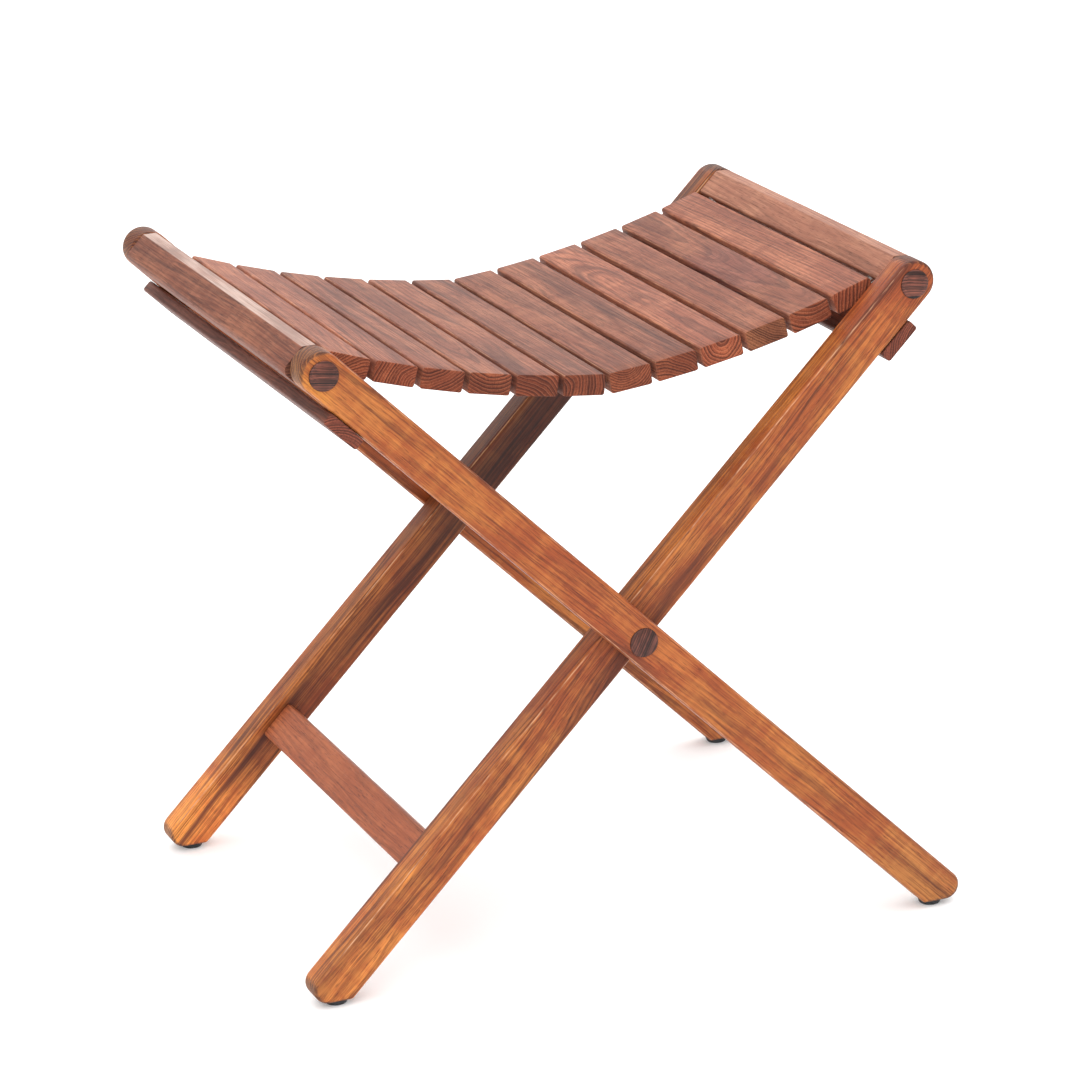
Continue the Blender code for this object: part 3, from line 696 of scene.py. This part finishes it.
def add_plug(name, spot, inward, turn, body, seed):
    """A round plug in its hole at the spot, with a domed face: the rim rises as a steep ellipse."""
    shoulder = PLUG_HOLE_DEPTH - FIT + 0.3 * MM
    rise = np.linspace(0, pi / 2, 14)
    dome = [(PLUG_RADIUS * cos(a) ** 0.8, shoulder + PLUG_DOME * sin(a)) for a in rise[:-1]]
    foot = [(0, 0), (PLUG_RADIUS - 0.5 * MM, 0), (PLUG_RADIUS, 0.5 * MM)]
    profile = [*foot, *dome, (0, shoulder + PLUG_DOME)]
    spin = along(spot + inward * (PLUG_HOLE_DEPTH - FIT), -inward)
    plug = turned(name + "_dome", profile, spin, PLUG_SEGMENTS)
    level = Matrix.Translation(spot) @ Matrix.Rotation(turn, 4, "Y")
    wood = teak(
        name + "_walnut", level, seed=seed, **PLUG_TONES, line=0.85, streak=1.0, spacing=1.7, pith=(9, 30),
        tilt=0.01, rough=0.4,
    )
    place_piece(plug, body, wood, "plug_wood", name)


for frame_name, lean in LEAN.items():
    place = leg_place(lean)
    body = frame_name + "_frame"
    leg_y = LEG_Y[frame_name]
    for side, sign in SIDES.items():
        name = f"{frame_name}_leg_{side}"
        middle = lean * sign * leg_y
        leg = board(name + "_timber", LEG, middle - LEG_THICK / 2, middle + LEG_THICK / 2, LEG_EDGE, place)
        inward = Vector((0, -sign, 0))
        outer_face = sign * (leg_y + LEG_THICK / 2)
        rail_end = place @ Vector((UPPER_ARM, 0, 0)) + Vector((0, outer_face, 0))
        pivot = Vector((0, outer_face, PIVOT_Z))
        plug_hole = (PLUG_HOLE_RADIUS, HEAD_DEPTH + MM)
        through = LEG_THICK + 3 * MM
        rail_hole = drill(rail_end - inward * MM, inward, plug_hole, (SCREW_HOLE_RADIUS, through))
        if frame_name == "outer":
            pivot_hole = drill(pivot - inward * MM, inward, plug_hole, (BOLT_HOLE_RADIUS, through))
        else:
            pivot_hole = drill(pivot - inward * 2 * MM, inward, (SLEEVE_HOLE_RADIUS, through + MM))
        bore(leg, rail_hole, pivot_hole)
        grain = Matrix.Translation((0, sign * leg_y, 0)) @ place
        wood = teak(
            name + "_teak", grain, **LEG_TONES, **LEG_GRAIN[name], ends=(0.12, 0.6), rough=0.46,
            end_tone=(0.4, 0.46, 0.85), arris=LEG_RUBBED_AND_HIGHLIT_EDGE,
        )
        place_piece(leg, body, wood, "leg_teak", name)

        plugs = {f"{frame_name}_rail_plug_{side}": (rail_end, radians(8))}
        if frame_name == "outer":
            plugs[f"pivot_plug_{side}"] = (pivot, radians(-62))
        for plug_name, (spot, turn) in plugs.items():
            add_plug(plug_name, spot, inward, turn, body, len(plug_name) * 5 + sign + 40 * lean)

    face_in = leg_y - LEG_THICK / 2
    rail_y = face_in - FIT
    section = RAIL_SECTION + (UPPER_ARM, 0)
    rail = board(
        f"{frame_name}_rail_timber", section, -rail_y, rail_y, RAIL_RIM, place, spans=24, wave=SANDED, seed=4
    )
    # The outer rail's chamfer, facing straight up, takes a painted sheen
    wood = teak(
        f"{frame_name}_rail_teak", grain_along_y(place, (UPPER_ARM, 0, 0)), seed=23 + lean,
        **RAIL_TONES[frame_name], line=0.4, streak=0.4, spacing=2.2, pith=(20, 34), tilt=0.03, rough=0.55,
        specular=0.22, pale=((0, 0, 1), (0.56, 0.39, 0.32)) if lean < 0 else None,
    )
    place_piece(rail, body, wood, "seat_teak", f"{frame_name}_top_rail")

    bar_z = -LEG_WIDTH / 2 - FIT - BAR_THICK / 2
    bar_half = leg_y + LEG_THICK / 2
    section = rounded_rectangle(BAR_WIDTH, BAR_THICK, 2 * MM, 6) + (BAR_ALONG, bar_z)
    bar = board(
        f"{frame_name}_bar_timber", section, -bar_half, bar_half, BAR_RIM, place,
        spans=24, wave=BAR_SANDED, seed=6,
    )
    wood = teak(
        f"{frame_name}_bar_teak", grain_along_y(place, (BAR_ALONG, 0, bar_z)), seed=31 + lean, **BAR_SHADED_TONES,
        line=0.5, streak=0.6, spacing=1.8, pith=(16, 28), tilt=0.02, rough=0.5, specular=0.22,
        end_tone=(1.3, 1.0, 0.9),
    )
    place_piece(bar, body, wood, "seat_teak", f"{frame_name}_cross_bar")

    pad_top = FOOT_Z - FIT
    pad_profile = [
        (0, 0),
        (PAD_FLOOR_RADIUS - 1.1 * MM, 0),
        (PAD_FLOOR_RADIUS - 0.4 * MM, 0.15 * MM),
        (PAD_FLOOR_RADIUS, 0.6 * MM),
        (PAD_TOP_RADIUS - 0.1 * MM, pad_top - 0.5 * MM),
        (PAD_TOP_RADIUS - 0.2 * MM, pad_top - 0.15 * MM),
        (PAD_TOP_RADIUS - 0.6 * MM, pad_top),
        (2.9 * MM, pad_top),
        (2.9 * MM, 15 * MM),
        (1.9 * MM, 16 * MM),
        (0, 16 * MM),
    ]
    for side, sign in SIDES.items():
        foot = Matrix.Translation((-lean * PAD_X, sign * leg_y, 0))
        pad = turned(f"{frame_name}_pad_{side}", pad_profile, foot, PAD_SEGMENTS)
        place_piece(pad, body, rubber, "black_rubber", f"{frame_name}_foot_pad_{side}")

place = leg_place(1)
section = rounded_rectangle(STRETCHER_WIDTH, STRETCHER_THICK, 2.6 * MM, 6) + (-STRETCHER_ALONG, 0)
half = LEG_Y["inner"] - LEG_THICK / 2 - FIT
stretcher = board(
    "stretcher_timber", section, -half, half, STRETCHER_RIM, place, spans=24, wave=SANDED, seed=9
)
wood = teak(
    "stretcher_teak", grain_along_y(place, (-STRETCHER_ALONG, 0, 0)), seed=44, **STRETCHER_TONES,
    line=0.35, streak=0.35, spacing=2.6, pith=(40, 60), tilt=0.02,
)
place_piece(stretcher, "inner_frame", wood, "seat_teak", "inner_stretcher")

# ---------------------------------------------------------------- slats and cords

# Each slat's tone against the seat's, and the slats whose figure differs: flat-sawn ones with the rings
# rising through the face, and one with pale sapwood at its end
SLAT_TONES = (1.3, 1.28, 1.05, 1.0, 1.05, 0.92, 0.96, 0.95, 1.28, 1.05, 0.98, 1.24)
SLAT_GRAIN = {
    4: dict(pith=(2, -15), rise=0.05, spacing=2.4, line=0.5),
    9: dict(pith=(-3, -17), rise=-0.06, spacing=2.6, line=0.5),
    10: dict(end_tone=(0.74, 0.74, 0.62)),
    11: dict(pith=(3, -24), rise=0.07, spacing=2.8, line=0.45, spots=[((-25, 0, 7), 75, (0.86, 0.84, 1.0))]),
}
# The slats' half sizes, edge radius and strength of their lighter edge line: rubbing and a painted highlight
SLAT_RUBBED_AND_HIGHLIT_EDGE = (SLAT_WIDTH / 2 / MM, SLAT_THICK / 2 / MM, SLAT_EDGE / MM, 0.35)
SLAT_PLACES = seat_places()
draw = np.random.default_rng(11)
slat_section = rounded_rectangle(SLAT_WIDTH, SLAT_THICK, SLAT_EDGE, 5)
for number, place in enumerate(SLAT_PLACES, 1):
    name = f"slat_{number:02d}"
    slat = board(
        name + "_timber", slat_section, -SLAT_LENGTH / 2, SLAT_LENGTH / 2, SLAT_RIM, place,
        spans=20, wave=SANDED, seed=number,
    )
    across = place.to_3x3() @ Vector((1, 0, 0))
    holes = [
        drill(place @ Vector((-SLAT_WIDTH, y, 0)), across, (CORD_HOLE_RADIUS, 2 * SLAT_WIDTH), around=24)
        for y in (-CORD_Y, CORD_Y)
    ]
    bore(slat, *holes)
    tone = SLAT_TONES[number - 1]
    angle, distance = draw.uniform(0, 2 * pi), draw.uniform(14, 60)
    tones = {key: tuple(tone * c for c in value) for key, value in SEAT_TONES.items()}
    grain = dict(
        line=draw.uniform(0.3, 0.6), streak=draw.uniform(0.3, 0.65), spacing=draw.uniform(1.6, 2.6),
        pith=(distance * cos(angle), distance * sin(angle)), tilt=draw.uniform(-0.04, 0.04),
        end_tone=(0.85, 0.62, 0.5),
    )
    grain.update(SLAT_GRAIN.get(number, {}))
    wood = teak(
        name + "_teak", grain_along_y(place), seed=60 + number, **tones, **grain, rough=0.58, specular=0.22,
        arris=SLAT_RUBBED_AND_HIGHLIT_EDGE,
    )
    place_piece(slat, name, wood, "seat_teak", name)

    # The two halves of the cord's run through a gap meet at rest. Beside the bars, where the
    # slats fold closest, they stop at the mouths of the holes.
    full, short = SLAT_PITCH / 2, SLAT_WIDTH / 2
    low, high = short if number in (2, SLATS) else full, short if number in (1, SLATS - 1) else full
    for side, sign in SIDES.items():
        strand = twisted_cord(
            f"{name}_cord_{side}", place @ Vector((-low, sign * CORD_Y, 0)),
            place @ Vector((high, sign * CORD_Y, 0)), CORD_RADIUS if number % 2 else CORD_RADIUS * 0.9,
        )
        place_piece(strand, name, cord_yarn, "cord")

# The cord's last run at each end, from the outermost slat to the ferrule in the rail's face
run_slope = SLAT_FIRST_SLOPE + (SLATS // 2 - 1) * SLAT_SLOPE_STEP
run = Vector((cos(run_slope), 0, sin(run_slope)))
end_edge = SLAT_PLACES[-1] @ Vector((SLAT_PITCH / 2, 0, 0))
rail_centre = leg_place(1) @ Vector((UPPER_ARM, 0, 0))
leg_up = leg_place(1).to_3x3().col[0]
reach = ((rail_centre - end_edge).dot(leg_up) + RAIL_INNER) / run.dot(leg_up)
mouth = end_edge + run * reach
FERRULE_LOOP = [
    (FERRULE_BORE, 0.35 * MM),
    (FERRULE_BORE + 0.3 * MM, 0.05 * MM),
    (FERRULE_RADIUS - 0.45 * MM, 0),
    (FERRULE_RADIUS - 0.1 * MM, 0.3 * MM),
    (FERRULE_RADIUS, 0.7 * MM),
    (FERRULE_RADIUS, FERRULE_LENGTH),
    (FERRULE_BORE, FERRULE_LENGTH),
]
for frame_name, lean in LEAN.items():
    body = frame_name + "_frame"
    into = Vector((lean * run.x, 0, run.z))
    for side, sign in SIDES.items():
        at_rail = Vector((lean * mouth.x, sign * CORD_Y, mouth.z))
        at_slat = Vector((lean * end_edge.x, sign * CORD_Y, end_edge.z)) - into * (SLAT_PITCH - SLAT_WIDTH) / 2
        strand = twisted_cord(
            f"{body}_cord_{side}", at_slat - into * 1.5 * MM, at_rail + into * CORD_IN_RAIL, CORD_RADIUS * 1.05
        )
        strand.data.materials.append(cord_yarn)
        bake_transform(strand)
        if lean < 0:
            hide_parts(f"seat_cord_{side}")
        ferrule = turned(
            f"{frame_name}_ferrule_{side}", FERRULE_LOOP, along(at_rail - into * FERRULE_PROUD, into),
            FERRULE_SEGMENTS, closed=True,
        )
        place_piece(ferrule, body, steel, "stainless_steel", f"{frame_name}_cord_ferrule_{side}")

# ---------------------------------------------------------------- fittings that stay as they are

for name, node in nodes.items():
    if node.hide_render:
        continue
    if "washer" in name:
        finish = nylon
    elif "dowel" in name:
        finish = bpy.data.materials["stretcher_teak"]
    else:
        finish = steel
    for slot in node.material_slots:
        slot.material = finish

# ---------------------------------------------------------------- floor, light and camera


def lamp(name, spot, aim, size, power):
    """A rectangular area lamp at the spot, turned to its aim and hidden from the camera."""
    light = bpy.data.lights.new(name, "AREA")
    light.shape, light.size, light.size_y = "RECTANGLE", *size
    light.energy = power
    made = bpy.data.objects.new(name, light)
    made.location = spot
    made.rotation_mode = "QUATERNION"
    made.rotation_quaternion = (Vector(aim) - Vector(spot)).to_track_quat("-Z", "Y")
    made.visible_camera = False
    bpy.context.scene.collection.objects.link(made)


FLOOR_HALF = 6
floor_mesh = bpy.data.meshes.new("floor")
floor_mesh.from_pydata(
    [(x * FLOOR_HALF, y * FLOOR_HALF, 0) for x, y in ((-1, -1), (1, -1), (1, 1), (-1, 1))], [], [(0, 1, 2, 3)]
)
floor = bpy.data.objects.new("floor", floor_mesh)
bpy.context.scene.collection.objects.link(floor)
pale_floor = {"Base Color": (0.93, 0.93, 0.93, 1), "Roughness": 0.9, "Emission Color": (1, 1, 1, 1)}
floor_mesh.materials.append(Finish("pale_floor", **pale_floor, **{"Emission Strength": 0.12}).material)

# An even white sky, brighter overhead
SKY_LEVEL, SKY_TOP = 0.6, 1.8
world = bpy.data.worlds.new("studio")
bpy.context.scene.world = world
world.use_nodes = True
sky = world.node_tree
ramp, gradient = sky.nodes.new("ShaderNodeMapRange"), sky.nodes.new("ShaderNodeSeparateXYZ")
sky.links.new(sky.nodes.new("ShaderNodeTexCoord").outputs["Generated"], gradient.inputs[0])
sky.links.new(gradient.outputs["Z"], ramp.inputs["Value"])
ramp.inputs["To Min"].default_value, ramp.inputs["To Max"].default_value = SKY_LEVEL, SKY_TOP
sky.links.new(ramp.outputs[0], sky.nodes["Background"].inputs["Strength"])
sky.nodes["Background"].inputs["Color"].default_value = (1, 1, 1, 1)
bpy.context.scene.view_settings.view_transform = "Standard"
lamp("front", (-1.6, -2.4, 1.9), (0, 0, 0.25), (1.8, 1.8), 30)
lamp("back", (1.3, 2.8, 1.5), (0, 0, 0.3), (3.2, 1.6), 20)

CAMERA_AZIMUTH, CAMERA_ELEVATION, CAMERA_ROLL = radians(-22.2007), radians(18.1223), radians(-1.8062)
CAMERA_DISTANCE = 3.2145
CAMERA_TARGET = Vector((0.0448, 0, 0.2309))
LENS_MM, SENSOR_MM, SHIFT_X, SHIFT_Y = 146.08, 36, -0.0482, 0.0224
back = Vector(
    (
        sin(CAMERA_AZIMUTH) * cos(CAMERA_ELEVATION),
        -cos(CAMERA_AZIMUTH) * cos(CAMERA_ELEVATION),
        sin(CAMERA_ELEVATION),
    )
)
right = Vector((cos(CAMERA_AZIMUTH), sin(CAMERA_AZIMUTH), 0))
up = back.cross(right)
rolled_right = cos(CAMERA_ROLL) * right + sin(CAMERA_ROLL) * up
rolled_up = cos(CAMERA_ROLL) * up - sin(CAMERA_ROLL) * right
lens = bpy.data.cameras.new("camera")
lens.lens, lens.sensor_width = LENS_MM, SENSOR_MM
lens.shift_x, lens.shift_y = SHIFT_X, SHIFT_Y
camera = bpy.data.objects.new("camera", lens)
bpy.context.scene.collection.objects.link(camera)
camera.matrix_world = Matrix.Translation(CAMERA_TARGET + back * CAMERA_DISTANCE) @ Matrix(
    (rolled_right, rolled_up, back)
).transposed().to_4x4()
bpy.context.scene.camera = camera
